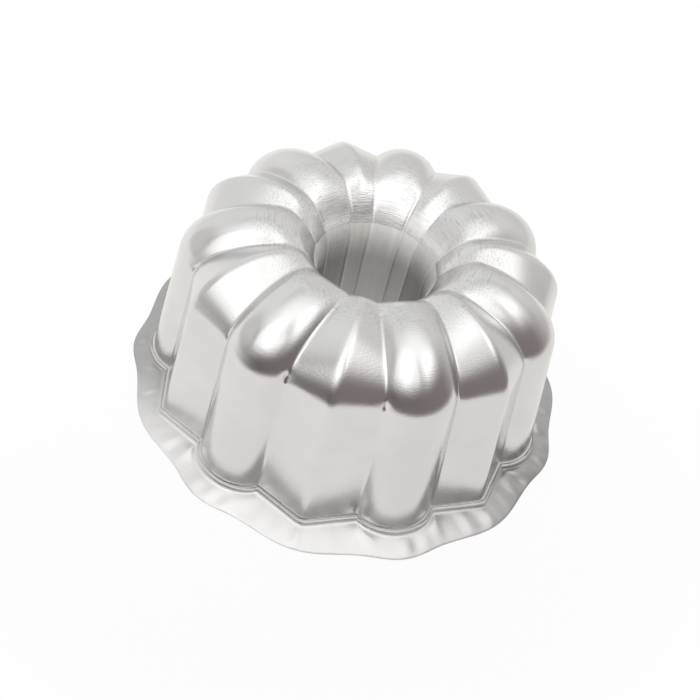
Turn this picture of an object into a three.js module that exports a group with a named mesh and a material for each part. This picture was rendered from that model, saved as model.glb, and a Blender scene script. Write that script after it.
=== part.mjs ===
import * as THREE from 'three';

// Fluted tube pan, standing upside down on its flange with the crown up and the axis on Z.
// Two pieces: a pressed shell, and a centre tube whose stepped top laps behind the shell's throat lip.
// Driving dimensions are in millimetres and degrees.

// Whole pan
const OVERALL_HEIGHT = 80; // table to the highest flute crest
const MOUTH_DIAMETER = 170; // across opposite flute crests, at the foot of the wall
const SHEET = 0.8; // thickness of both pieces

// Flange and wall
const FLANGE_LAND = 5.9; // flat band outside the fillet at a flute crest, to the mean of the wavy edge
const FLANGE_WAVE = 1.2; // how far the edge swings in and out of its mean circle
const FOOT_FILLET = 2; // from the flange up to the ledge
const FOOT_LEDGE = 0.6; // narrow ledge round the foot of the wall
const WALL_DRAFT = 7.6; // degrees that the wall leans in

// Crown, throat and tube, measured along the bottoms of the grooves
const CROWN_DIAMETER = 78; // circle of the crown's highest points
const CREST_RISE = 4.22; // from there up to the highest flute crest
const CROWN_RISE = 17.8; // from the shoulder up to the crown
const CROWN_WALL_PULL = 10.5; // how far the shoulder curve keeps to the wall's line
const CROWN_TOP_PULL = 14.6; // how far it keeps to the crown's level
const NECK_DIAMETER = 45; // where the throat turns into the straight tube
const NECK_DROP = 22.5; // from the crown down to the neck
const THROAT_TOP_PULL = 8; // how far the throat curve keeps to the crown's level
const THROAT_TUBE_PULL = 9.5; // how far it keeps to the tube's line
const TUBE_END_DIAMETER = 43;
const TUBE_END_HEIGHT = 4; // tube's cut end, above the table

// Flutes: angular and round ones take turns
const FLUTE_PAIRS = 7;
const FOOT_DEPTH = 6.8;
const SHOULDER_DEPTH = 5.4;
const CROWN_DEPTH = 3;
const NECK_DEPTH = 0.3;
const TUBE_END_DEPTH = 0.3;
const DEPTH_FADE = 8; // power: how late the flutes get shallower on the way to the crown
const SHARE_FADE = 2; // the same for how angular flutes get narrower
const THROAT_FADE = 4; // power: how soon the flutes flatten out in the throat
const WALL_SHARE = 0.567; // part of a pair's pitch that its angular flute takes on the wall
const CROWN_SHARE = 0.39; // the same on the crown, in the throat and in the tube

// Lap seam between shell and tube
const THROAT_LIP = 20; // length of the shell's sheet from the crown to its cut edge in the throat
const SEAM_LAP = 5; // length of tube that lies behind the lip
const SEAM_GAP = 0.3; // clearance between the lapped sheets
const STEP_CLEARANCE = 0.5; // from the lip's cut edge to the start of the tube's step
const STEP_RUN = 1.5; // length over which the tube steps out, level with the shell

// Finish of the bare aluminium
const SHELL_COLOUR = 0xcfcdca;
const SHELL_ROUGHNESS = 0.32;
const TUBE_COLOUR = 0xb9b6b2;
const TUBE_ROUGHNESS = 0.42;

// Fineness of the faceted solids
const FACET_STEPS = 2;
const ROUND_STEPS = 8;
const FILLET_STEPS = 3;
const WALL_STEPS = 3;
const CROWN_STEPS = 7;
const THROAT_STEPS = 4;
const LAP_STEPS = 2;
const NECK_STEPS = 4;
const TUBE_STEPS = 3;

// Places that follow from the driving dimensions
const pitch = 2 * Math.PI / FLUTE_PAIRS;
const wallTilt = THREE.MathUtils.degToRad(WALL_DRAFT);
const footReach = FOOT_LEDGE + FOOT_FILLET;
const footHeight = SHEET + FOOT_FILLET;
const edgeRadius = MOUTH_DIAMETER / 2 + footReach + FLANGE_LAND;
const crownHeight = OVERALL_HEIGHT - CREST_RISE;
const shoulderHeight = crownHeight - CROWN_RISE;
const footRadius = MOUTH_DIAMETER / 2 - FOOT_DEPTH;
const shoulderRadius = footRadius - (shoulderHeight - footHeight) * Math.tan(wallTilt);

// Groove profile as radius and height: foot, shoulder, crown, neck and tube end
const foot = new THREE.Vector2(footRadius, footHeight);
const shoulder = new THREE.Vector2(shoulderRadius, shoulderHeight);
const crown = new THREE.Vector2(CROWN_DIAMETER / 2, crownHeight);
const neck = new THREE.Vector2(NECK_DIAMETER / 2, crownHeight - NECK_DROP);
const tubeEnd = new THREE.Vector2(TUBE_END_DIAMETER / 2, TUBE_END_HEIGHT);
const inward = new THREE.Vector2(-1, 0);
const outward = new THREE.Vector2(1, 0);
const upWall = shoulder.clone().sub(foot).normalize();
const upTube = neck.clone().sub(tubeEnd).normalize();

function moved(start, direction, distance) {
  return start.clone().addScaledVector(direction, distance);
}

// Flute sizes at the ends of each stretch of the profile
const atFoot = { depth: FOOT_DEPTH, share: WALL_SHARE };
const atShoulder = { depth: SHOULDER_DEPTH, share: WALL_SHARE };
const atCrown = { depth: CROWN_DEPTH, share: CROWN_SHARE };
const atNeck = { depth: NECK_DEPTH, share: CROWN_SHARE };
const atTubeEnd = { depth: TUBE_END_DEPTH, share: CROWN_SHARE };

const evenly = (t) => t;
const lately = (power) => (t) => t ** power;
const early = (power) => (t) => 1 - (1 - t) ** power;

const wallStretch = {
  curve: new THREE.LineCurve(foot, shoulder),
  from: atFoot,
  to: atShoulder,
  depthChange: evenly,
  shareChange: evenly,
  fluteDirection: outward,
};
const crownStretch = {
  curve: new THREE.CubicBezierCurve(
    shoulder,
    moved(shoulder, upWall, CROWN_WALL_PULL),
    moved(crown, outward, CROWN_TOP_PULL),
    crown,
  ),
  from: atShoulder,
  to: atCrown,
  depthChange: lately(DEPTH_FADE),
  shareChange: lately(SHARE_FADE),
};
const throatStretch = {
  curve: new THREE.CubicBezierCurve(
    crown,
    moved(crown, inward, THROAT_TOP_PULL),
    moved(neck, upTube, THROAT_TUBE_PULL),
    neck,
  ),
  from: atCrown,
  to: atNeck,
  depthChange: early(THROAT_FADE),
  shareChange: evenly,
};
const tubeStretch = {
  curve: new THREE.LineCurve(neck, tubeEnd),
  from: atNeck,
  to: atTubeEnd,
  depthChange: evenly,
  shareChange: evenly,
};

// A station is one ring of the sheet: where the grooves run, and how the flutes stand out of them.
function stationOn(stretch, t, setBack = 0) {
  const place = stretch.curve.getPoint(t);
  const along = stretch.curve.getTangent(t);
  const { from, to, depthChange, shareChange } = stretch;
  return {
    place,
    fluteDirection: stretch.fluteDirection ?? new THREE.Vector2(along.y, -along.x),
    depth: THREE.MathUtils.lerp(from.depth, to.depth, depthChange(t)),
    share: THREE.MathUtils.lerp(from.share, to.share, shareChange(t)),
    setBack,
  };
}

function stationsAlong(stretch, start, end, steps, setBack = 0) {
  const stations = [];
  for (let step = 0; step <= steps; step++) {
    stations.push(stationOn(stretch, THREE.MathUtils.lerp(start, end, step / steps), setBack));
  }
  return stations;
}

function flangeStations() {
  const edge = { ...atFoot, isEdge: true, isFlat: true, setBack: 0 };
  const stations = [edge];
  for (let step = 0; step <= FILLET_STEPS; step++) {
    const turn = Math.PI / 2 * step / FILLET_STEPS;
    const place = new THREE.Vector2(
      footRadius + footReach - FOOT_FILLET * Math.sin(turn),
      SHEET + FOOT_FILLET * (1 - Math.cos(turn)),
    );
    stations.push({ ...atFoot, place, fluteDirection: outward, isFlat: step === 0, setBack: 0 });
  }
  return stations;
}

// Place along the throat curve at a distance from the crown, measured along the sheet
function throatPlace(distance) {
  return throatStretch.curve.getUtoTmapping(0, distance);
}

// Columns run round the pan: the grooves, the ridges of angular flutes and the arcs of round ones.
function fluteColumns() {
  const columns = [];
  for (let pair = 0; pair < FLUTE_PAIRS; pair++) {
    const ridge = -Math.PI / 2 + pair * pitch;
    for (let step = 0; step < 2 * FACET_STEPS; step++) {
      columns.push({ isRound: false, centre: ridge, across: step / FACET_STEPS - 1 });
    }
    for (let step = 0; step < ROUND_STEPS; step++) {
      columns.push({ isRound: true, centre: ridge + pitch / 2, across: 2 * step / ROUND_STEPS - 1 });
    }
  }
  return columns;
}

function polar(radius, angle, height) {
  return new THREE.Vector3(radius * Math.cos(angle), radius * Math.sin(angle), height);
}

// Height of a circular arc over its chord, at a share of the half width
function arcRise(across, halfWidth, depth) {
  const arcRadius = (halfWidth * halfWidth + depth * depth) / (2 * depth);
  return Math.sqrt(arcRadius * arcRadius - (across * halfWidth) ** 2) - (arcRadius - depth);
}

// A point on the outer face
function facePoint(station, column) {
  const share = column.isRound ? 1 - station.share : station.share;
  const halfAngle = share * pitch / 2;
  const angle = column.centre + column.across * halfAngle;
  if (station.isEdge) {
    return polar(edgeRadius + FLANGE_WAVE * Math.cos(Math.PI * column.across), angle, SHEET);
  }
  const { place, fluteDirection } = station;
  const raised = (rise) => moved(place, fluteDirection, rise);
  if (column.isRound) {
    const top = raised(arcRise(column.across, place.x * halfAngle, station.depth));
    return polar(top.x, angle, top.y);
  }
  const ridge = raised(station.depth);
  const groove = polar(place.x, column.centre + Math.sign(column.across) * halfAngle, place.y);
  return polar(ridge.x, column.centre, ridge.y).lerp(groove, Math.abs(column.across));
}

// Step from the face into the sheet, lengthened at creases so that the thickness stays even
function sheetStep(faces, stations, row, index) {
  if (stations[row].isFlat) {
    return new THREE.Vector3(0, 0, -1);
  }
  const ring = faces[row];
  const here = ring[index];
  const ahead = ring[(index + 1) % ring.length].clone().sub(here);
  const behind = here.clone().sub(ring[(index + ring.length - 1) % ring.length]);
  const normals = [];
  if (row > 0) {
    const below = here.clone().sub(faces[row - 1][index]);
    normals.push(ahead.clone().cross(below).normalize(), behind.clone().cross(below).normalize());
  }
  if (row < faces.length - 1) {
    const above = faces[row + 1][index].clone().sub(here);
    normals.push(ahead.clone().cross(above).normalize(), behind.clone().cross(above).normalize());
  }
  const total = normals.reduce((sum, normal) => sum.add(normal), new THREE.Vector3());
  const middle = total.clone().normalize();
  return middle.multiplyScalar(-normals.length / total.length());
}

// Closed solid of even thickness behind the stations' faces
function sheetGeometry(stations) {
  const columns = fluteColumns();
  const faces = stations.map((station) => columns.map((column) => facePoint(station, column)));
  const outside = [];
  const inside = [];
  stations.forEach((station, row) => {
    const steps = columns.map((column, index) => sheetStep(faces, stations, row, index));
    const shifted = (depth) => faces[row].map((point, i) => moved(point, steps[i], depth));
    outside.push(shifted(station.setBack));
    inside.unshift(shifted(station.setBack + SHEET));
  });
  const rings = [...outside, ...inside];
  const triangles = [];
  rings.forEach((ring, row) => {
    const here = row * columns.length;
    const above = ((row + 1) % rings.length) * columns.length;
    columns.forEach((column, index) => {
      const next = (index + 1) % columns.length;
      triangles.push(here + index, here + next, above + next);
      triangles.push(here + index, above + next, above + index);
    });
  });
  const geometry = new THREE.BufferGeometry().setFromPoints(rings.flat());
  geometry.setIndex(triangles);
  geometry.computeVertexNormals();
  return geometry;
}

function makePart(name, stations, colour, roughness) {
  const material = new THREE.MeshStandardMaterial({ color: colour, metalness: 1, roughness });
  const part = new THREE.Mesh(sheetGeometry(stations), material);
  part.name = name;
  return part;
}

const lapStart = throatPlace(THROAT_LIP - SEAM_LAP);
const lapEnd = throatPlace(THROAT_LIP);

// Pressed shell: flange, fillet, ledge, wall, crown, and the throat down to its cut lip
function flutedShell() {
  const stations = [
    ...flangeStations(),
    ...stationsAlong(wallStretch, 0, 1, WALL_STEPS).slice(0, -1),
    ...stationsAlong(crownStretch, 0, 1, CROWN_STEPS).slice(0, -1),
    ...stationsAlong(throatStretch, 0, lapStart, THROAT_STEPS).slice(0, -1),
    ...stationsAlong(throatStretch, lapStart, lapEnd, LAP_STEPS),
  ];
  return makePart('fluted_shell', stations, SHELL_COLOUR, SHELL_ROUGHNESS);
}

// Centre tube: lapped top, step, throat, neck, and the straight tube down to its cut end
function centreTube() {
  const lapDepth = SHEET + SEAM_GAP;
  const stepStart = throatPlace(THROAT_LIP + STEP_CLEARANCE);
  const stepEnd = throatPlace(THROAT_LIP + STEP_CLEARANCE + STEP_RUN);
  const stations = [
    ...stationsAlong(throatStretch, lapStart, lapEnd, LAP_STEPS, lapDepth),
    stationOn(throatStretch, stepStart, lapDepth),
    ...stationsAlong(throatStretch, stepEnd, 1, NECK_STEPS).slice(0, -1),
    ...stationsAlong(tubeStretch, 0, 1, TUBE_STEPS),
  ];
  return makePart('centre_tube', stations, TUBE_COLOUR, TUBE_ROUGHNESS);
}

const pan = new THREE.Group();
pan.name = 'fluted_tube_pan';
pan.add(flutedShell(), centreTube());

export default pan;
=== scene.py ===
"""Fluted tube pan of bare aluminium sheet, standing upside down on its flange."""

import math

import bpy
import numpy as np
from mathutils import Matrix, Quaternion, Vector


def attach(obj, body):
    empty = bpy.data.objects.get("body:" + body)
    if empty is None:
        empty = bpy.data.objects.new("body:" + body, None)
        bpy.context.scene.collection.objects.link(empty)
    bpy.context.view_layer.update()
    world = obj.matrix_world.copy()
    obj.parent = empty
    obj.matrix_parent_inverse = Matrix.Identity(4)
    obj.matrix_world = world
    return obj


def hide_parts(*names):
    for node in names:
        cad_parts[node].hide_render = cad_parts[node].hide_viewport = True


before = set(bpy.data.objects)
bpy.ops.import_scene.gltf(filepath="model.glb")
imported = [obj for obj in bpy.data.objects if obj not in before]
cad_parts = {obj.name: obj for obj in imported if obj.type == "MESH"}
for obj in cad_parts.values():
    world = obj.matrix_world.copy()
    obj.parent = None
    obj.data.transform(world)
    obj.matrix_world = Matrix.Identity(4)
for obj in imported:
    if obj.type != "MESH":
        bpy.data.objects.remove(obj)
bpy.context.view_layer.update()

# Sizes are in millimetres and degrees, and turn into metres where meshes are made.
MM = 0.001

# Whole pan
OVERALL_HEIGHT = 80.0  # table to the highest flute crest
MOUTH_DIAMETER = 170.0  # across opposite flute crests, at the foot of the wall
SHEET = 0.8  # thickness of both pieces

# Flange
FLANGE_LAND = 5.8  # band outside the fillet at a flute crest, to the mean of the wavy edge
FLANGE_WAVE = 1.2  # how far the edge swings in and out of its mean line
EDGE_BEVEL = 0.15  # broken corners of the trimmed edge
EDGE_OVAL = 1.0  # how far the edge is drawn out at the front and back, and in at the sides
EDGE_SHIFT = 0.7  # how far the edge is off the pan's axis
EDGE_BEARING = 20.0  # where both are largest, in degrees to the right of the front
FLANGE_RISE = 1.3  # mean height of the flange's inner side over its edge
FLANGE_TILT = 0.2  # how much higher it is at the front, and lower at the back
FLANGE_BOW = 1.8  # above 1, the flange is level next to the wall and steeper towards its edge
SWELL_HEIGHT = 0.2  # long, low waves of the edge
SWELL_COUNTS = (3, 5, 8)  # round the pan, in three sets
PLEAT_HEIGHT = 0.09  # fine folds all round the flange
PLEAT_COUNTS = (41, 58, 79)
SIDE_PLEAT = 1.5  # how much deeper they are at the left and the right
PUCKER_HEIGHT = 0.8  # gathered sheet in front of a groove
PUCKER_SIZES = (0.5, 1.3)  # smallest and largest share of that height
PUCKER_WIDTH = 3.4
PUCKER_SCALE = 9.5  # brings the top of a pucker's profile across the flange to 1
CREASE_HEIGHT = 0.10  # small folds in front of a ridge
CREASE_PITCH = 4.5
WRINKLE_SEED = 5

# Wall
FOOT_HEIGHT = 4.9  # of the narrow ledge round the foot of the wall
FOOT_FILLET = 2.1  # width of the fillet between flange and ledge
FILLET_BEND = 0.4  # 0 makes the fillet a straight slope, 0.55 about a quarter round
FOOT_LEDGE = 0.6  # width of the ledge
WALL_DRAFT = 7.6  # degrees that the wall leans in

# Crown, throat and tube, measured along the bottoms of the grooves
CROWN_DIAMETER = 78.0
CREST_RISE = 4.22  # from there to the highest flute crest
CROWN_RISE = 17.8
CROWN_WALL_PULL = 10.5
CROWN_TOP_PULL = 14.6
NECK_DIAMETER = 45.0
NECK_DROP = 22.5
THROAT_TOP_PULL = 8.0
THROAT_TUBE_PULL = 9.5
TUBE_END_DIAMETER = 43.0
TUBE_END_HEIGHT = 4.0

# Flutes: angular and round ones take turns
FLUTE_PAIRS = 7
FOOT_DEPTH = 6.8
SHOULDER_DEPTH = 5.4
CROWN_DEPTH = 3.0
NECK_DEPTH = 0.3
TUBE_END_DEPTH = 0.3
DEPTH_FADE = 8.0  # power: how late the flutes get shallower on the way to the crown
SHARE_FADE = 2.0  # the same for how they get narrower
THROAT_FADE = 4.0  # power: how soon they flatten out in the throat
WALL_SHARE = 0.567  # part of a pair's pitch that its angular flute takes on the wall
CROWN_SHARE = 0.39  # the same on the crown, in the throat and in the tube
RIDGE_SOFTNESS = 2.0  # reach of the rounding to each side of an angular flute's ridge
GROOVE_SOFTNESS = 0.85  # the same at the bottom of a groove
GROOVE_LINE = 0.35  # how deep a groove is pressed as a line where the flutes have flattened out
DIMPLE_HEIGHT = 60.5  # small dents in the grooves at the shoulder
DIMPLE_SCATTER = 1.0  # how far a dent may lie above or below that
DIMPLE_DEPTH = 0.5
DIMPLE_SIZES = (0.6, 1.2)  # smallest and largest share of that depth
DIMPLE_WIDTH = 1.0
DIMPLE_LENGTH = 2.0

# Lap seam between shell and tube
THROAT_LIP = 20.0  # length of the shell's sheet from the crown to its cut edge in the throat
SEAM_LAP = 5.0  # length of tube that lies behind the lip
SEAM_GAP = 0.14  # clearance between the lapped sheets
STEP_CLEARANCE = 0.02  # from the lip's cut edge to the start of the tube's step
STEP_RUN = 0.03  # length over which the tube steps out, level with the shell

# Fineness of the meshes
SOFT_STEPS = 4
FACET_STEPS = 10
ROUND_STEPS = 20
FLANGE_STEPS = 14
FILLET_STEPS = 7
LEDGE_STEPS = 4
WALL_STEPS = 16
CROWN_STEPS = 60
THROAT_STEPS = 26
LAP_STEPS = 4
NECK_STEPS = 12
TUBE_STEPS = 12
CURVE_SAMPLES = 400  # for lengths along the throat
SHARP_BEND = 50.0  # degrees from which an edge is shaded as a sharp one

# Places that follow from the sizes
pitch = 2 * math.pi / FLUTE_PAIRS
wall_tilt = math.radians(WALL_DRAFT)
foot_reach = FOOT_LEDGE + FOOT_FILLET
edge_radius = MOUTH_DIAMETER / 2 + foot_reach + FLANGE_LAND
crown_height = OVERALL_HEIGHT - CREST_RISE
shoulder_height = crown_height - CROWN_RISE
foot_radius = MOUTH_DIAMETER / 2 - FOOT_DEPTH
shoulder_radius = foot_radius - (shoulder_height - FOOT_HEIGHT) * math.tan(wall_tilt)

# Groove profile as radius and height
foot = np.array([foot_radius, FOOT_HEIGHT])
shoulder = np.array([shoulder_radius, shoulder_height])
crown = np.array([CROWN_DIAMETER / 2, crown_height])
neck = np.array([NECK_DIAMETER / 2, crown_height - NECK_DROP])
tube_end = np.array([TUBE_END_DIAMETER / 2, TUBE_END_HEIGHT])
outward = np.array([1.0, 0.0])


def unit(vectors):
    return vectors / np.linalg.norm(vectors, axis=-1, keepdims=True)


up_wall = unit(shoulder - foot)
up_tube = unit(neck - tube_end)

# Flute sizes where the stretches of the profile meet: depth, and share of the angular flutes
at_foot = np.array([FOOT_DEPTH, WALL_SHARE])
at_shoulder = np.array([SHOULDER_DEPTH, WALL_SHARE])
at_crown = np.array([CROWN_DEPTH, CROWN_SHARE])
at_neck = np.array([NECK_DEPTH, CROWN_SHARE])
at_tube_end = np.array([TUBE_END_DEPTH, CROWN_SHARE])
crown_fade = np.array([DEPTH_FADE, SHARE_FADE])

crown_curve = (
    shoulder,
    shoulder + up_wall * CROWN_WALL_PULL,
    crown + outward * CROWN_TOP_PULL,
    crown,
)
throat_curve = (
    crown,
    crown - outward * THROAT_TOP_PULL,
    neck + up_tube * THROAT_TUBE_PULL,
    neck,
)


def curve_point(curve, t):
    """Place and direction at t on a cubic curve."""
    a, b, c, d = curve
    s = 1 - t
    place = s ** 3 * a + 3 * s * s * t * b + 3 * s * t * t * c + t ** 3 * d
    along = s * s * (b - a) + 2 * s * t * (c - b) + t * t * (d - c)
    return place, unit(along)


def across_curve(along):
    """Direction in which flutes stand out of a profile that runs along."""
    return np.array([along[1], -along[0]])


class Station:
    """One ring of the sheet: where the grooves run, and how the flutes stand out of them."""

    def __init__(self, place, direction, flutes, line=0.0, set_back=0.0):
        self.place = place
        self.direction = direction
        self.depth, self.share = flutes
        self.line = line
        self.set_back = set_back


def wall_station(t):
    direction = unit((1 - t) * outward + t * across_curve(up_wall))
    return Station((1 - t) * foot + t * shoulder, direction, (1 - t) * at_foot + t * at_shoulder)


def crown_station(t):
    place, along = curve_point(crown_curve, t)
    flutes = at_shoulder + (at_crown - at_shoulder) * t ** crown_fade
    return Station(place, across_curve(along), flutes)


def throat_station(t, set_back=0.0):
    place, along = curve_point(throat_curve, t)
    fade = (1 - t) ** THROAT_FADE
    flutes = at_neck + (at_crown - at_neck) * fade
    return Station(place, across_curve(along), flutes, GROOVE_LINE * (1 - fade), set_back)


def tube_station(t):
    flutes = (1 - t) * at_neck + t * at_tube_end
    return Station((1 - t) * neck + t * tube_end, across_curve(-up_tube), flutes, GROOVE_LINE)


def throat_place(distance):
    """Place t on the throat curve at a distance from the crown, measured along the sheet."""
    t = np.linspace(0, 1, CURVE_SAMPLES)
    points = np.array([curve_point(throat_curve, x)[0] for x in t])
    lengths = np.linalg.norm(np.diff(points, axis=0), axis=1)
    return float(np.interp(distance, np.concatenate([[0], np.cumsum(lengths)]), t))


class Columns:
    """Columns round the pan. A column lies between two grooves, at across from -1 to 1.

    Across is even + ridge * (share of the ridge's rounding) + groove * (share of the groove's).
    """

    def __init__(self):
        rows = []
        self.grooves = []
        self.ridges = []
        soft = np.arange(SOFT_STEPS) / SOFT_STEPS
        facet = np.arange(FACET_STEPS) / FACET_STEPS
        arc = np.arange(ROUND_STEPS) / ROUND_STEPS
        half = [(0, s, 0) for s in soft]
        half += [(f, 1 - f, -f) for f in facet]
        half += [(1, 0, s - 1) for s in soft]
        mirrored = [(-even, -ridge, -groove) for even, ridge, groove in half[1:] + [(1, 0, 0)]]
        angular = mirrored[::-1] + half
        rounded = [(-1, 0, s) for s in soft]
        rounded += [(2 * f - 1, 0, 1 - 2 * f) for f in arc]
        rounded += [(1, 0, s - 1) for s in soft]
        for pair in range(FLUTE_PAIRS):
            ridge_angle = -math.pi / 2 + pair * pitch
            self.grooves.append(len(rows))
            self.ridges.append(len(rows) + len(half))
            rows += [(False, ridge_angle, *place) for place in angular]
            self.grooves.append(len(rows))
            rows += [(True, ridge_angle + pitch / 2, *place) for place in rounded]
        table = np.array(rows, dtype=float)
        self.count = len(rows)
        self.is_round = table[:, 0] > 0.5
        self.centre = table[:, 1]
        self.even, self.ridge, self.groove = table[:, 2:].T


columns = Columns()


def steps(start, end, count):
    """Evenly spaced values, without the last one."""
    return np.linspace(start, end, count, endpoint=False)


def polar(radius, angle, height):
    radius, angle, height = np.broadcast_arrays(radius, angle, height)
    return np.stack([radius * np.cos(angle), radius * np.sin(angle), height], axis=-1)


def arc_rise(across, half_width, depth):
    """Height of a circular arc over its chord, at a share of the half width."""
    arc_radius = (half_width ** 2 + depth ** 2) / (2 * depth)
    return np.sqrt(arc_radius ** 2 - (across * half_width) ** 2) - (arc_radius - depth)


def column_places(station):
    """Half angle of each column's flute, and the column's place across it."""
    half_angle = np.where(columns.is_round, 1 - station.share, station.share) * pitch / 2
    half_width = station.place[0] * half_angle
    ridge_share = RIDGE_SOFTNESS / half_width
    groove_share = GROOVE_SOFTNESS / half_width
    across = columns.even + columns.ridge * ridge_share + columns.groove * groove_share
    return half_angle, across


def soften(ring):
    """Rounds the creases of a ring of points, over SOFT_STEPS columns to each side."""
    softened = ring.copy()
    for crease in columns.grooves + columns.ridges:
        reach = np.arange(-SOFT_STEPS, SOFT_STEPS + 1)
        t = ((reach + SOFT_STEPS) / (2 * SOFT_STEPS))[:, None]
        start = ring[(crease - SOFT_STEPS) % columns.count]
        end = ring[(crease + SOFT_STEPS) % columns.count]
        bend = (1 - t) ** 2 * start + 2 * t * (1 - t) * ring[crease] + t ** 2 * end
        softened[(crease + reach) % columns.count] = bend
    return softened


def station_ring(station):
    """Points of the outer face round a station."""
    half_angle, across = column_places(station)
    radius, height = station.place
    out, up = station.direction
    rise = arc_rise(np.where(columns.is_round, across, 0), radius * half_angle, station.depth)
    arc = polar(radius + out * rise, columns.centre + across * half_angle, height + up * rise)
    left = polar(radius, columns.centre - half_angle, height)
    right = polar(radius, columns.centre + half_angle, height)
    ridge = polar(radius + out * station.depth, columns.centre, height + up * station.depth)
    middle = (left + right) / 2
    side = across[:, None]
    facet = middle + (right - left) / 2 * side + (ridge - middle) * (1 - np.abs(side))
    ring = np.where(columns.is_round[:, None], arc, facet)
    away = polar(out, columns.centre - half_angle, up)
    ring[columns.grooves] -= away[columns.grooves] * station.line
    return soften(ring)


class Flange:
    """The flange with its slope and wrinkles, and the fillet and ledge at the wall's foot."""

    def __init__(self):
        half_angle, across = column_places(Station(foot, outward, at_foot))
        self.angle = columns.centre + across * half_angle
        self.bearing = self.angle + math.pi / 2
        turned = self.bearing - math.radians(EDGE_BEARING)
        wave = FLANGE_WAVE * np.cos(math.pi * across)
        oval = EDGE_OVAL * np.cos(2 * turned)
        shift = EDGE_SHIFT * np.cos(turned)
        self.edge_radius = edge_radius + wave + oval + shift
        self.rise = FLANGE_RISE + FLANGE_TILT * np.cos(self.bearing)
        self.wrinkle()

    def wrinkle(self):
        random = np.random.default_rng(WRINKLE_SEED)
        waves = self.waves(SWELL_COUNTS, random)
        self.swell = SWELL_HEIGHT * (1 + np.mean(waves, axis=0))
        folds = self.waves(PLEAT_COUNTS, random)
        side = 1 + SIDE_PLEAT * np.sin(self.bearing) ** 2
        self.pleat = PLEAT_HEIGHT * side * np.sum(folds, axis=0)
        self.pucker = np.zeros(columns.count)
        for groove in columns.grooves:
            reach = self.distance(groove) + random.uniform(-1, 1) * PUCKER_WIDTH / 2
            size = random.uniform(*PUCKER_SIZES)
            self.pucker += PUCKER_HEIGHT * size * np.exp(-(reach / PUCKER_WIDTH) ** 2)
        self.crease = np.zeros(columns.count)
        for ridge in columns.ridges:
            reach = self.distance(ridge)
            fold = np.sin(2 * math.pi * reach / CREASE_PITCH + random.uniform(0, 2 * math.pi))
            self.crease += CREASE_HEIGHT * fold * np.exp(-(reach / CREASE_PITCH) ** 2)

    def waves(self, counts, random):
        """Waves round the pan, each with a phase of its own."""
        phases = random.uniform(0, 2 * math.pi, len(counts))
        return [np.sin(count * self.bearing + phase) for count, phase in zip(counts, phases)]

    def distance(self, column):
        """Distance of all columns from one of them, round the foot of the wall."""
        turn = self.angle - self.angle[column]
        return foot_radius * np.arctan2(np.sin(turn), np.cos(turn))

    def height(self, share):
        """Height of the upper face, from share 0 at the fillet to 1 at the edge."""
        slope = self.rise * (1 - share ** FLANGE_BOW)
        near_wall = PUCKER_SCALE * share * (1 - share) ** 3
        mid_way = 4 * share * (1 - share)
        folds = self.pucker * near_wall + (self.crease + self.pleat) * mid_way
        return SHEET + slope + folds + self.swell * share ** 2

    def edge_ring(self, inset, drop):
        """Points of the trimmed edge, set in from the outline and down from the upper face."""
        return polar(self.edge_radius - inset, self.angle, self.height(1) - drop)

    def foot_ring(self, offset, height):
        """Points round the wall's foot, at an offset from it."""
        place = foot + outward * offset
        ring = station_ring(Station(place, outward, at_foot))
        ring[:, 2] = height
        return ring

    def fillet_ring(self, t):
        """Points of the fillet, from the flange at 0 to upright at 1."""
        low = self.height(0)
        high = FOOT_HEIGHT - FOOT_LEDGE / 2
        pull = FOOT_FILLET * FILLET_BEND
        s = 1 - t
        offset = FOOT_LEDGE + FOOT_FILLET * (s ** 3 + 3 * s * s * t) - 3 * s * s * t * pull
        flat = (s ** 3 + 3 * s * s * t) * low
        steep = 3 * s * t * t * (high - (high - low) * FILLET_BEND) + t ** 3 * high
        return self.foot_ring(offset, flat + steep)

    def ledge_ring(self, share):
        """Points of the ledge between the fillet's top and the wall: two small arcs."""
        rise = FOOT_LEDGE / 2 * math.sin(math.pi * (share - 0.5))
        return self.foot_ring(FOOT_LEDGE * (1 - share), FOOT_HEIGHT + rise)

    def rings(self):
        start = self.fillet_ring(0)
        edge = self.edge_ring(EDGE_BEVEL, 0)
        rings = [self.edge_ring(0, EDGE_BEVEL)]
        for share in np.linspace(1, 0, FLANGE_STEPS, endpoint=False):
            ring = (1 - share) * start + share * edge
            ring[:, 2] = self.height(share)
            rings.append(ring)
        rings += [self.fillet_ring(t) for t in steps(0, 1, FILLET_STEPS)]
        rings += [self.ledge_ring(share) for share in steps(0, 1, LEDGE_STEPS)]
        return rings


flange = Flange()


def press_dimples(face):
    """Presses a small dent into each groove of the wall and crown."""
    dents = np.zeros(face.shape[:2])
    random = np.random.default_rng(WRINKLE_SEED)
    for groove in columns.grooves:
        line = face[:, groove]
        place = DIMPLE_HEIGHT + random.uniform(-DIMPLE_SCATTER, DIMPLE_SCATTER)
        middle = np.argmin(np.abs(line[:, 2] - place))
        along = np.linalg.norm(line - line[middle], axis=1)[:, None] / DIMPLE_LENGTH
        across = np.linalg.norm(face - line[:, None], axis=2) / DIMPLE_WIDTH
        depth = DIMPLE_DEPTH * random.uniform(*DIMPLE_SIZES)
        dents += depth * np.exp(-along ** 2 - across ** 2)
    return face - dents[..., None] * grid_normals(face)


def grid_normals(face):
    """Normals of a grid of points, rows by columns, the columns closing on themselves."""
    round_way = np.roll(face, -1, axis=1) - np.roll(face, 1, axis=1)
    up_way = np.gradient(face, axis=0)
    return unit(np.cross(round_way, up_way))


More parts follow.
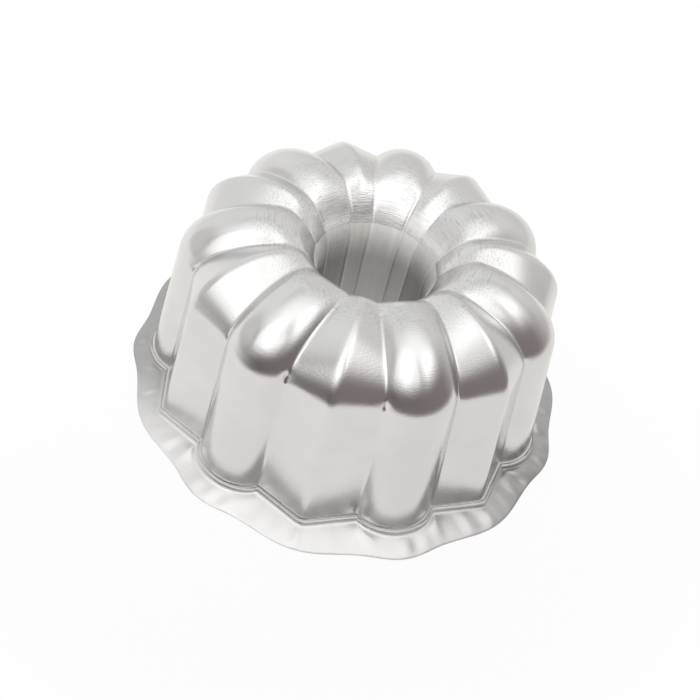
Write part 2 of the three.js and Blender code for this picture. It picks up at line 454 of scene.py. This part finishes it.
def inner_face(face, depth):
    """The face's other side: depth away, along normals that are evened out over small bends."""
    lengths = np.linalg.norm(np.diff(face, axis=0), axis=2).mean(axis=1)
    along = np.concatenate([[0], np.cumsum(lengths)])
    spacing = np.gradient(along)
    weights = np.exp(-((along[:, None] - along[None, :]) / SHEET) ** 2) * spacing[None, :]
    normals = np.einsum("ij,jkc->ikc", weights, grid_normals(face))
    return face - depth * unit(normals)


def closed_sheet(name, outside, inside):
    """Closed mesh between an outer and an inner grid of points."""
    rings = np.concatenate([outside, inside[::-1]])
    rows, count = rings.shape[:2]
    here = np.arange(rows)[:, None] * count + np.arange(count)[None, :]
    above = np.roll(here, -1, axis=0)
    faces = np.stack([here, np.roll(here, -1, axis=1), np.roll(above, -1, axis=1), above], axis=-1)
    mesh = bpy.data.meshes.new(name)
    mesh.from_pydata((rings.reshape(-1, 3) * MM).tolist(), [], faces.reshape(-1, 4).tolist())
    mesh.shade_smooth()
    mesh.set_sharp_from_angle(angle=math.radians(SHARP_BEND))
    piece = bpy.data.objects.new(name, mesh)
    bpy.context.scene.collection.objects.link(piece)
    return piece


lap_end = throat_place(THROAT_LIP)
lap_start = throat_place(THROAT_LIP - SEAM_LAP)


def make_shell():
    wall_start = FOOT_LEDGE / 2 / (shoulder_height - FOOT_HEIGHT)
    body = [station_ring(wall_station(t)) for t in steps(wall_start, 1, WALL_STEPS)]
    body += [station_ring(crown_station(t)) for t in steps(0, 1, CROWN_STEPS)]
    throat = [station_ring(throat_station(t)) for t in np.linspace(0, lap_end, THROAT_STEPS)]
    outside = np.concatenate([flange.rings(), press_dimples(np.array(body)), throat])
    inside = inner_face(outside, SHEET)
    inside[0] = flange.edge_ring(EDGE_BEVEL, SHEET)
    inside[1] = flange.edge_ring(2 * EDGE_BEVEL, SHEET)
    return closed_sheet("shell_skin", outside, inside)


def make_tube():
    lap_depth = SHEET + SEAM_GAP
    step_start = throat_place(THROAT_LIP + STEP_CLEARANCE)
    step_end = throat_place(THROAT_LIP + STEP_CLEARANCE + STEP_RUN)
    stations = [throat_station(t, lap_depth) for t in steps(lap_start, lap_end, LAP_STEPS)]
    stations += [throat_station(t, lap_depth) for t in (lap_end, step_start)]
    stations += [throat_station(t) for t in steps(step_end, 1, NECK_STEPS)]
    stations += [tube_station(t) for t in np.linspace(0, 1, TUBE_STEPS)]
    face = np.array([station_ring(station) for station in stations])
    set_back = np.array([station.set_back for station in stations])[:, None, None]
    outside = face - set_back * grid_normals(face)
    return closed_sheet("tube_skin", outside, inner_face(outside, SHEET))


# Finish of the metal, in metres
SHELL_COLOUR = (0.72, 0.715, 0.708)
TUBE_COLOUR = (0.80, 0.785, 0.77)
NOISE_DETAIL = 2.0
GLOSS_STRETCH = 0.6  # how far gloss is drawn out across the turning marks
GLOSS_TURN = 0.25  # part of a full turn, to lie across them
INNER_RADIUS = 0.043  # inside it the marks are deepest
OUTER_RADIUS = 0.056  # outside it the sheet is smoother
SHELL_ROUGHNESS = (0.13, 0.23)  # outside and inside
TUBE_ROUGHNESS = (0.48, 0.54)
# Clouds: faint changes of tone and gloss
SHELL_CLOUDS = 45.0  # to a metre
TUBE_CLOUDS = 70.0
CLOUD_LIMITS = (0.3, 0.7)  # between which most of their noise lies
CLOUD_TONE = (0.97, 1.03)
CLOUD_BLUR = 0.02
# Turning marks round the crown and the throat
TURNING_PITCH = 0.0004
TURNING_DEPTH = 0.00008
TURNING_SPREAD = 2.0  # higher makes shorter marks
FINE_MARKS = 3.0  # how much finer the second set is
FINE_SHARE = 0.35  # its part of the relief
OUTER_MARKS = 0.45  # share of the relief on the smoother sheet
STREAK_PITCH = 0.0003  # of the grey specks along the marks
STREAK_SPREAD = 2.6
STREAK_LIMITS = (0.50, 0.66)  # of their noise: none below, darkest above
STREAK_TONE = 0.22  # how much darker they are
# Throat and seam: painted sheen in the throat, and darkening round the seam
THROAT_PAINTED_SHEEN = 0.1  # painted sheen: how much brighter the sheet's colour is made in the throat
THROAT_RADII = (0.026, 0.048)  # over which that fades
SEAM_HEIGHT = 0.0625
SEAM_REACH = 0.004  # of the darkening above and below it
SEAM_PATCHES = 260.0  # to a metre
SEAM_PATCH_LIMITS = (0.55, 0.75)
SEAM_DARKENING = (0.08, 0.35)  # how much darker it is between them and on them
# Flange: painted light at the front and painted shade at the sides and the back, and rougher at the
# front than elsewhere
FRONT_WAY = (-0.05, -1.0, 0)
SIDE_TO_FRONT = (0.03, 0.075)  # distances to the front over which the finish changes
FLANGE_TOP = (0.0028, 0.0034)  # height over which its finish ends
FLANGE_PAINTED_SHADE_AND_LIGHT = (-0.37, 0.22)  # painted shade at the sides and painted light at the front: change of tone there
FLANGE_BLUR = (0.08, 0.26)  # roughness added there
# Draw lines of the tube, and its tone: painted shade deep in the throat and painted light towards
# the seam
DRAW_LINES = 60.0  # in a radian
DRAW_STRETCH = 25.0  # to a metre along them
DRAW_DEPTH = 0.00004
DRAW_TONE = (0.94, 1.04)
PAINTED_SHADE_HEIGHT = 0.046  # below it the tube's colour is darkest, as painted shade
PAINTED_LIGHT_HEIGHT = 0.058  # above it the tube's colour is lightest, as painted light
TUBE_PAINTED_SHADE_AND_LIGHT = (0.68, 1.1)  # at these two heights
TUBE_PAINTED_SEAM_LIGHT = 0.04  # painted light added towards the seam


class Nodes:
    """A node tree, with helpers that add nodes to it."""

    def __init__(self, tree):
        self.tree = tree

    def add(self, kind, inputs=None, **settings):
        """Adds a node. Its inputs are numbers, colours or other nodes' outputs."""
        node = self.tree.nodes.new("ShaderNode" + kind)
        for name, value in settings.items():
            setattr(node, name, value)
        for name, value in (inputs or {}).items():
            self.feed(node.inputs[name], value)
        return node

    def feed(self, socket, value):
        if isinstance(value, bpy.types.NodeSocket):
            self.tree.links.new(value, socket)
        else:
            socket.default_value = value

    def vector(self, operation, *values):
        return self.add("VectorMath", dict(enumerate(values)), operation=operation)

    def math(self, operation, *values):
        return self.add("Math", dict(enumerate(values)), operation=operation).outputs["Value"]

    def ramp(self, value, low, high, start, end):
        """Goes smoothly from start to end while the value goes from low to high."""
        limits = {"Value": value, "From Min": low, "From Max": high, "To Min": start, "To Max": end}
        return self.add("MapRange", limits, interpolation_type="SMOOTHSTEP").outputs["Result"]

    def noise(self, place, scale):
        inputs = {"Vector": place, "Scale": scale, "Detail": NOISE_DETAIL}
        return self.add("TexNoise", inputs).outputs["Fac"]


class Finish(Nodes):
    """A metal material."""

    def __init__(self, name):
        self.material = bpy.data.materials.new(name)
        self.material.use_nodes = True
        super().__init__(self.material.node_tree)
        self.shader = self.tree.nodes["Principled BSDF"]
        self.shader.inputs["Metallic"].default_value = 1
        self.shader.inputs["Anisotropic"].default_value = GLOSS_STRETCH
        self.shader.inputs["Anisotropic Rotation"].default_value = GLOSS_TURN
        tangent = self.add("Tangent", direction_type="RADIAL", axis="Z")
        self.feed(self.shader.inputs["Tangent"], tangent.outputs["Tangent"])
        self.place = self.add("TexCoord").outputs["Object"]
        flat = self.vector("MULTIPLY", self.place, (1, 1, 0)).outputs["Vector"]
        self.radius = self.vector("LENGTH", flat).outputs["Value"]
        self.way = self.vector("NORMALIZE", flat).outputs["Vector"]
        self.height = self.add("SeparateXYZ", {"Vector": self.place}).outputs["Z"]
        self.front = self.vector("DOT_PRODUCT", self.place, FRONT_WAY).outputs["Value"]

    def turned(self, pitch, spread):
        """Noise that is drawn out round the pan's axis."""
        across = self.math("MULTIPLY", self.radius, 1 / pitch)
        up = self.math("MULTIPLY", self.height, 1 / pitch)
        way = self.vector("MULTIPLY", self.way, (spread, spread, 0)).outputs["Vector"]
        lifted = self.add("CombineXYZ", {"Z": across}).outputs["Vector"]
        place = self.vector("ADD", way, lifted).outputs["Vector"]
        inputs = {"Vector": place, "W": up, "Scale": 1.0, "Detail": NOISE_DETAIL}
        return self.add("TexNoise", inputs, noise_dimensions="4D").outputs["Fac"]

    def paint(self, colour, tone):
        """Sets the base colour, darkened or brightened by the tone."""
        scaled = self.vector("SCALE", colour)
        self.feed(scaled.inputs["Scale"], tone)
        self.feed(self.shader.inputs["Base Color"], scaled.outputs["Vector"])

    def bump(self, height, depth):
        node = self.add("Bump", {"Height": height, "Distance": depth, "Strength": 1.0})
        self.feed(self.shader.inputs["Normal"], node.outputs["Normal"])


def pressed_finish():
    finish = Finish("pressed_aluminium")
    inner = finish.ramp(finish.radius, INNER_RADIUS, OUTER_RADIUS, 1, 0)
    on_flange = finish.ramp(finish.height, *FLANGE_TOP, 1, 0)
    cloud = finish.noise(finish.place, SHELL_CLOUDS)
    marks = finish.turned(TURNING_PITCH, TURNING_SPREAD)
    fine = finish.turned(TURNING_PITCH / FINE_MARKS, TURNING_SPREAD / FINE_MARKS)

    depth = finish.ramp(inner, 0, 1, OUTER_MARKS, 1)
    relief = finish.math("ADD", marks, finish.math("MULTIPLY", fine, FINE_SHARE))
    finish.bump(finish.math("MULTIPLY", relief, depth), TURNING_DEPTH)

    streak = finish.turned(STREAK_PITCH, STREAK_SPREAD)
    scratch = finish.math("MULTIPLY", finish.ramp(streak, *STREAK_LIMITS, 0, STREAK_TONE), inner)
    tone = finish.ramp(cloud, *CLOUD_LIMITS, *CLOUD_TONE)
    # Painted sheen: the colour is made brighter in the throat
    tone = finish.math("ADD", tone, finish.ramp(finish.radius, *THROAT_RADII, THROAT_PAINTED_SHEEN, 0))
    tone = finish.math("SUBTRACT", tone, scratch)
    # Painted shade at the flange's sides and back, painted light at its front
    painted_shade_and_light = finish.ramp(finish.front, *SIDE_TO_FRONT, *FLANGE_PAINTED_SHADE_AND_LIGHT)
    tone = finish.math("ADD", tone, finish.math("MULTIPLY", on_flange, painted_shade_and_light))
    # Darker near the seam, and darker still in patches
    seam = finish.math("ABSOLUTE", finish.math("SUBTRACT", finish.height, SEAM_HEIGHT))
    near = finish.math("MULTIPLY", finish.ramp(seam, 0, SEAM_REACH, 1, 0), inner)
    patch_darkening = finish.ramp(finish.noise(finish.place, SEAM_PATCHES), *SEAM_PATCH_LIMITS, *SEAM_DARKENING)
    tone = finish.math("SUBTRACT", tone, finish.math("MULTIPLY", near, patch_darkening))
    finish.paint(SHELL_COLOUR, tone)

    rough = finish.ramp(inner, 0, 1, *SHELL_ROUGHNESS)
    blur = finish.ramp(finish.front, *SIDE_TO_FRONT, *FLANGE_BLUR)
    rough = finish.math("ADD", rough, finish.math("MULTIPLY", on_flange, blur))
    rough = finish.math("ADD", rough, finish.ramp(cloud, *CLOUD_LIMITS, -CLOUD_BLUR, CLOUD_BLUR))
    finish.feed(finish.shader.inputs["Roughness"], rough)
    return finish.material


def drawn_finish():
    finish = Finish("drawn_aluminium")
    round_way = finish.vector("MULTIPLY", finish.way, (DRAW_LINES, DRAW_LINES, 0))
    lifted = finish.vector("MULTIPLY", finish.place, (0, 0, DRAW_STRETCH))
    drawn = finish.vector("ADD", round_way.outputs["Vector"], lifted.outputs["Vector"])
    lines = finish.noise(drawn.outputs["Vector"], 1.0)
    cloud = finish.noise(finish.place, TUBE_CLOUDS)
    finish.bump(lines, DRAW_DEPTH)

    tone = finish.ramp(lines, *CLOUD_LIMITS, *DRAW_TONE)
    tone = finish.math("MULTIPLY", tone, finish.ramp(cloud, *CLOUD_LIMITS, *CLOUD_TONE))
    # Painted shade and light: darker deep in the throat, lighter towards the seam
    shade = finish.ramp(finish.height, PAINTED_SHADE_HEIGHT, PAINTED_LIGHT_HEIGHT, *TUBE_PAINTED_SHADE_AND_LIGHT)
    tone = finish.math("MULTIPLY", tone, shade)
    light = finish.ramp(finish.height, PAINTED_LIGHT_HEIGHT, SEAM_HEIGHT, 0, TUBE_PAINTED_SEAM_LIGHT)
    finish.paint(TUBE_COLOUR, finish.math("ADD", tone, light))

    rough = finish.ramp(cloud, *CLOUD_LIMITS, *TUBE_ROUGHNESS)
    finish.feed(finish.shader.inputs["Roughness"], rough)
    return finish.material


shell = make_shell()
tube = make_tube()
shell.data.materials.append(pressed_finish())
tube.data.materials.append(drawn_finish())
for piece, node, slot in (
    (shell, "fluted_shell", "pressed_aluminium"),
    (tube, "centre_tube", "drawn_aluminium"),
):
    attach(piece, "root")
    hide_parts(node)

# Camera, in millimetres and degrees
CAMERA_AIM = (-1.27, -0.10, 11.42)
CAMERA_DISTANCE = 402.0
CAMERA_AZIMUTH = 2.1
CAMERA_ELEVATION = 46.46
CAMERA_ROLL = 14.4
CAMERA_LENS = 47.585  # on a sensor 36 mm wide


def make_camera():
    azimuth, elevation, roll = (
        math.radians(angle) for angle in (CAMERA_AZIMUTH, CAMERA_ELEVATION, CAMERA_ROLL)
    )
    back = Vector((
        math.sin(azimuth) * math.cos(elevation),
        -math.cos(azimuth) * math.cos(elevation),
        math.sin(elevation),
    ))
    data = bpy.data.cameras.new("camera")
    data.lens = CAMERA_LENS
    camera = bpy.data.objects.new("camera", data)
    camera.location = (Vector(CAMERA_AIM) + back * CAMERA_DISTANCE) * MM
    camera.rotation_mode = "QUATERNION"
    camera.rotation_quaternion = back.to_track_quat("Z", "Y") @ Quaternion((0, 0, 1), roll)
    bpy.context.scene.collection.objects.link(camera)
    bpy.context.scene.camera = camera


make_camera()


# Studio, in metres and degrees. Bearings go to the right from the camera's side
FLOOR_HALF = 3.0
FLOOR_COLOUR = (0.97, 0.97, 0.97, 1)
FLOOR_GLOW = 0.93  # share of plain white in what the camera and the metal see of the floor
FLOOR_FALL = 0.91  # level at the right of what the metal sees of it
FLOOR_FALL_REACH = 0.16
FLOOR_WARMTH = (0, 0.02, 0.045)  # taken off the white that the metal sees of it
DOME_LEVEL = 0.90  # light from all round
DOME_WARMTH = (0, 0.12, 0.14)  # taken off the white where the dome is darkest
DOME_DARK = 0.2  # level at which all of that is taken off
# Soft lamps and shades on the dome: gain, bearing, elevation, reach, and share of it that is even
DOME_SPOTS = (
    (0.56, 22.0, 65.0, 62.0, 0.23),
    (0.39, -22.0, 45.0, 34.0, 0.85),
    (-0.25, 69.0, 4.0, 29.0, 0.19),
    (-0.17, -84.0, 15.0, 32.0, 0.70),
    (-0.16, 149.0, -28.0, 87.0, 0.0),
    (-0.50, 20.0, 52.0, 27.0, 0.30),
    (-0.20, -54.0, 43.0, 25.0, 0.09),
    (-0.10, 132.0, 81.0, 44.0, 0.80),
    (0.36, 78.0, 50.0, 28.0, 0.30),
)
# Grey card with soft edges that stands round the front, out of the camera's sight
CARD_RADIUS = 0.19  # from the pan's axis
CARD_BEARING = 25.0  # of its middle
CARD_REACH = 105.0  # to each side of it
CARD_SIDE_FADE = 60.0
CARD_HEIGHT = 0.23
CARD_SLANT = 0.45  # share by which it is higher at the right, and lower at the left
CARD_TOP_FADE = 0.55  # share of its height
CARD_FOOT = 0.08  # share of its height that is clear above the floor
CARD_FOOT_FADE = 0.09  # share of its height over which it starts
CARD_LEVEL = 0.20  # light that comes from it
CARD_GAIN = 0.07  # how much lighter it is at the right
CARD_STEPS = 60
CARD_ROWS = 50


def add_object(name, mesh, material):
    piece = bpy.data.objects.new(name, mesh)
    mesh.materials.append(material)
    bpy.context.scene.collection.objects.link(piece)
    return piece


def dome_way(bearing, elevation):
    """Direction towards a place on the dome."""
    side, up = math.radians(bearing), math.radians(elevation)
    return math.sin(side) * math.cos(up), -math.cos(side) * math.cos(up), math.sin(up)


def smooth(values):
    """Goes smoothly from 0 to 1 while the values do."""
    values = np.clip(values, 0, 1)
    return values * values * (3 - 2 * values)


def make_floor():
    """Pale floor, nearly white to the camera and in the metal, that keeps the pan's shadow."""
    mesh = bpy.data.meshes.new("floor")
    corners = [(x * FLOOR_HALF, y * FLOOR_HALF, 0) for x, y in ((-1, -1), (1, -1), (1, 1), (-1, 1))]
    mesh.from_pydata(corners, [], [(0, 1, 2, 3)])
    material = bpy.data.materials.new("floor")
    material.use_nodes = True
    nodes = Nodes(material.node_tree)
    shader = nodes.tree.nodes["Principled BSDF"]
    shader.inputs["Base Color"].default_value = FLOOR_COLOUR
    shader.inputs["Roughness"].default_value = 1
    shader.inputs["Specular IOR Level"].default_value = 0
    path = nodes.add("LightPath").outputs
    seen = nodes.math("MAXIMUM", path["Is Camera Ray"], path["Is Glossy Ray"])
    seen = nodes.math("MAXIMUM", seen, path["Is Transmission Ray"])
    share = nodes.math("MULTIPLY", seen, FLOOR_GLOW)
    place = nodes.add("SeparateXYZ", {"Vector": nodes.add("TexCoord").outputs["Object"]})
    level = nodes.ramp(place.outputs["X"], -FLOOR_FALL_REACH, FLOOR_FALL_REACH, 1, FLOOR_FALL)
    level = nodes.math("MAXIMUM", level, path["Is Camera Ray"])
    warmth = nodes.vector("SCALE", FLOOR_WARMTH)
    nodes.feed(warmth.inputs["Scale"], nodes.math("SUBTRACT", 1.0, path["Is Camera Ray"]))
    tint = nodes.vector("SUBTRACT", (1, 1, 1), warmth.outputs["Vector"]).outputs["Vector"]
    white = nodes.add("Emission", {"Color": tint, "Strength": level}).outputs["Emission"]
    mix = nodes.add("MixShader", {0: share, 1: shader.outputs["BSDF"], 2: white})
    nodes.feed(nodes.tree.nodes["Material Output"].inputs["Surface"], mix.outputs["Shader"])
    add_object("floor", mesh, material)


def make_card():
    """Card that keeps some of the dome's light off, most of all in its middle."""
    side = np.linspace(-CARD_REACH, CARD_REACH, CARD_STEPS + 1)[None, :]
    up = np.linspace(0, 1, CARD_ROWS + 1)[:, None]
    right = np.sin(np.radians(CARD_BEARING + side))
    angle = np.radians(CARD_BEARING + side - 90)
    points = polar(CARD_RADIUS, angle, up * CARD_HEIGHT * (1 + CARD_SLANT * right))
    row, column = np.meshgrid(np.arange(CARD_ROWS), np.arange(CARD_STEPS), indexing="ij")
    corner = (row * (CARD_STEPS + 1) + column).ravel()
    faces = np.stack([corner, corner + 1, corner + CARD_STEPS + 2, corner + CARD_STEPS + 1], axis=1)
    mesh = bpy.data.meshes.new("card")
    mesh.from_pydata(points.reshape(-1, 3).tolist(), [], faces.tolist())
    share = smooth((CARD_REACH - np.abs(side)) / CARD_SIDE_FADE)
    share = share * smooth((1 - up) / CARD_TOP_FADE) * smooth((up - CARD_FOOT) / CARD_FOOT_FADE)
    level = (CARD_LEVEL + CARD_GAIN * right) + 0 * up
    for name, values in (("share", share), ("level", level)):
        mesh.attributes.new(name, "FLOAT", "POINT").data.foreach_set("value", values.ravel())
    material = bpy.data.materials.new("card")
    material.use_nodes = True
    nodes = Nodes(material.node_tree)
    share = nodes.add("Attribute", attribute_name="share").outputs["Fac"]
    level = nodes.add("Attribute", attribute_name="level").outputs["Fac"]
    tint = [1 - warmth for warmth in DOME_WARMTH] + [1]
    glow = nodes.add("Emission", {"Color": tint, "Strength": level}).outputs["Emission"]
    clear = nodes.add("BsdfTransparent").outputs["BSDF"]
    mix = nodes.add("MixShader", {0: share, 1: clear, 2: glow})
    nodes.feed(nodes.tree.nodes["Material Output"].inputs["Surface"], mix.outputs["Shader"])
    card = add_object("card", mesh, material)
    card.visible_camera = False


def make_world():
    """Dome of soft light, which the camera itself sees as plain white."""
    world = bpy.data.worlds.new("world")
    bpy.context.scene.world = world
    world.use_nodes = True
    nodes = Nodes(world.node_tree)
    way = nodes.add("TexCoord").outputs["Generated"]
    level = DOME_LEVEL
    for gain, *place, reach, core in DOME_SPOTS:
        near = nodes.vector("DOT_PRODUCT", way, dome_way(*place)).outputs["Value"]
        edge, full = math.cos(math.radians(reach)), math.cos(math.radians(reach * core))
        level = nodes.math("ADD", level, nodes.ramp(near, edge, full, 0, gain))
    dome = nodes.tree.nodes["Background"]
    warmth = nodes.vector("SCALE", DOME_WARMTH)
    nodes.feed(warmth.inputs["Scale"], nodes.ramp(level, DOME_DARK, DOME_LEVEL, 1, 0))
    tint = nodes.vector("SUBTRACT", (1, 1, 1), warmth.outputs["Vector"]).outputs["Vector"]
    nodes.feed(dome.inputs["Color"], tint)
    nodes.feed(dome.inputs["Strength"], level)
    white = nodes.add("Background", {"Color": (1, 1, 1, 1), "Strength": 1.0})
    seen = nodes.add("LightPath").outputs["Is Camera Ray"]
    dome, white = dome.outputs["Background"], white.outputs["Background"]
    mix = nodes.add("MixShader", {0: seen, 1: dome, 2: white})
    nodes.feed(nodes.tree.nodes["World Output"].inputs["Surface"], mix.outputs["Shader"])


make_floor()
make_card()
make_world()
bpy.context.scene.view_settings.view_transform = "Standard"
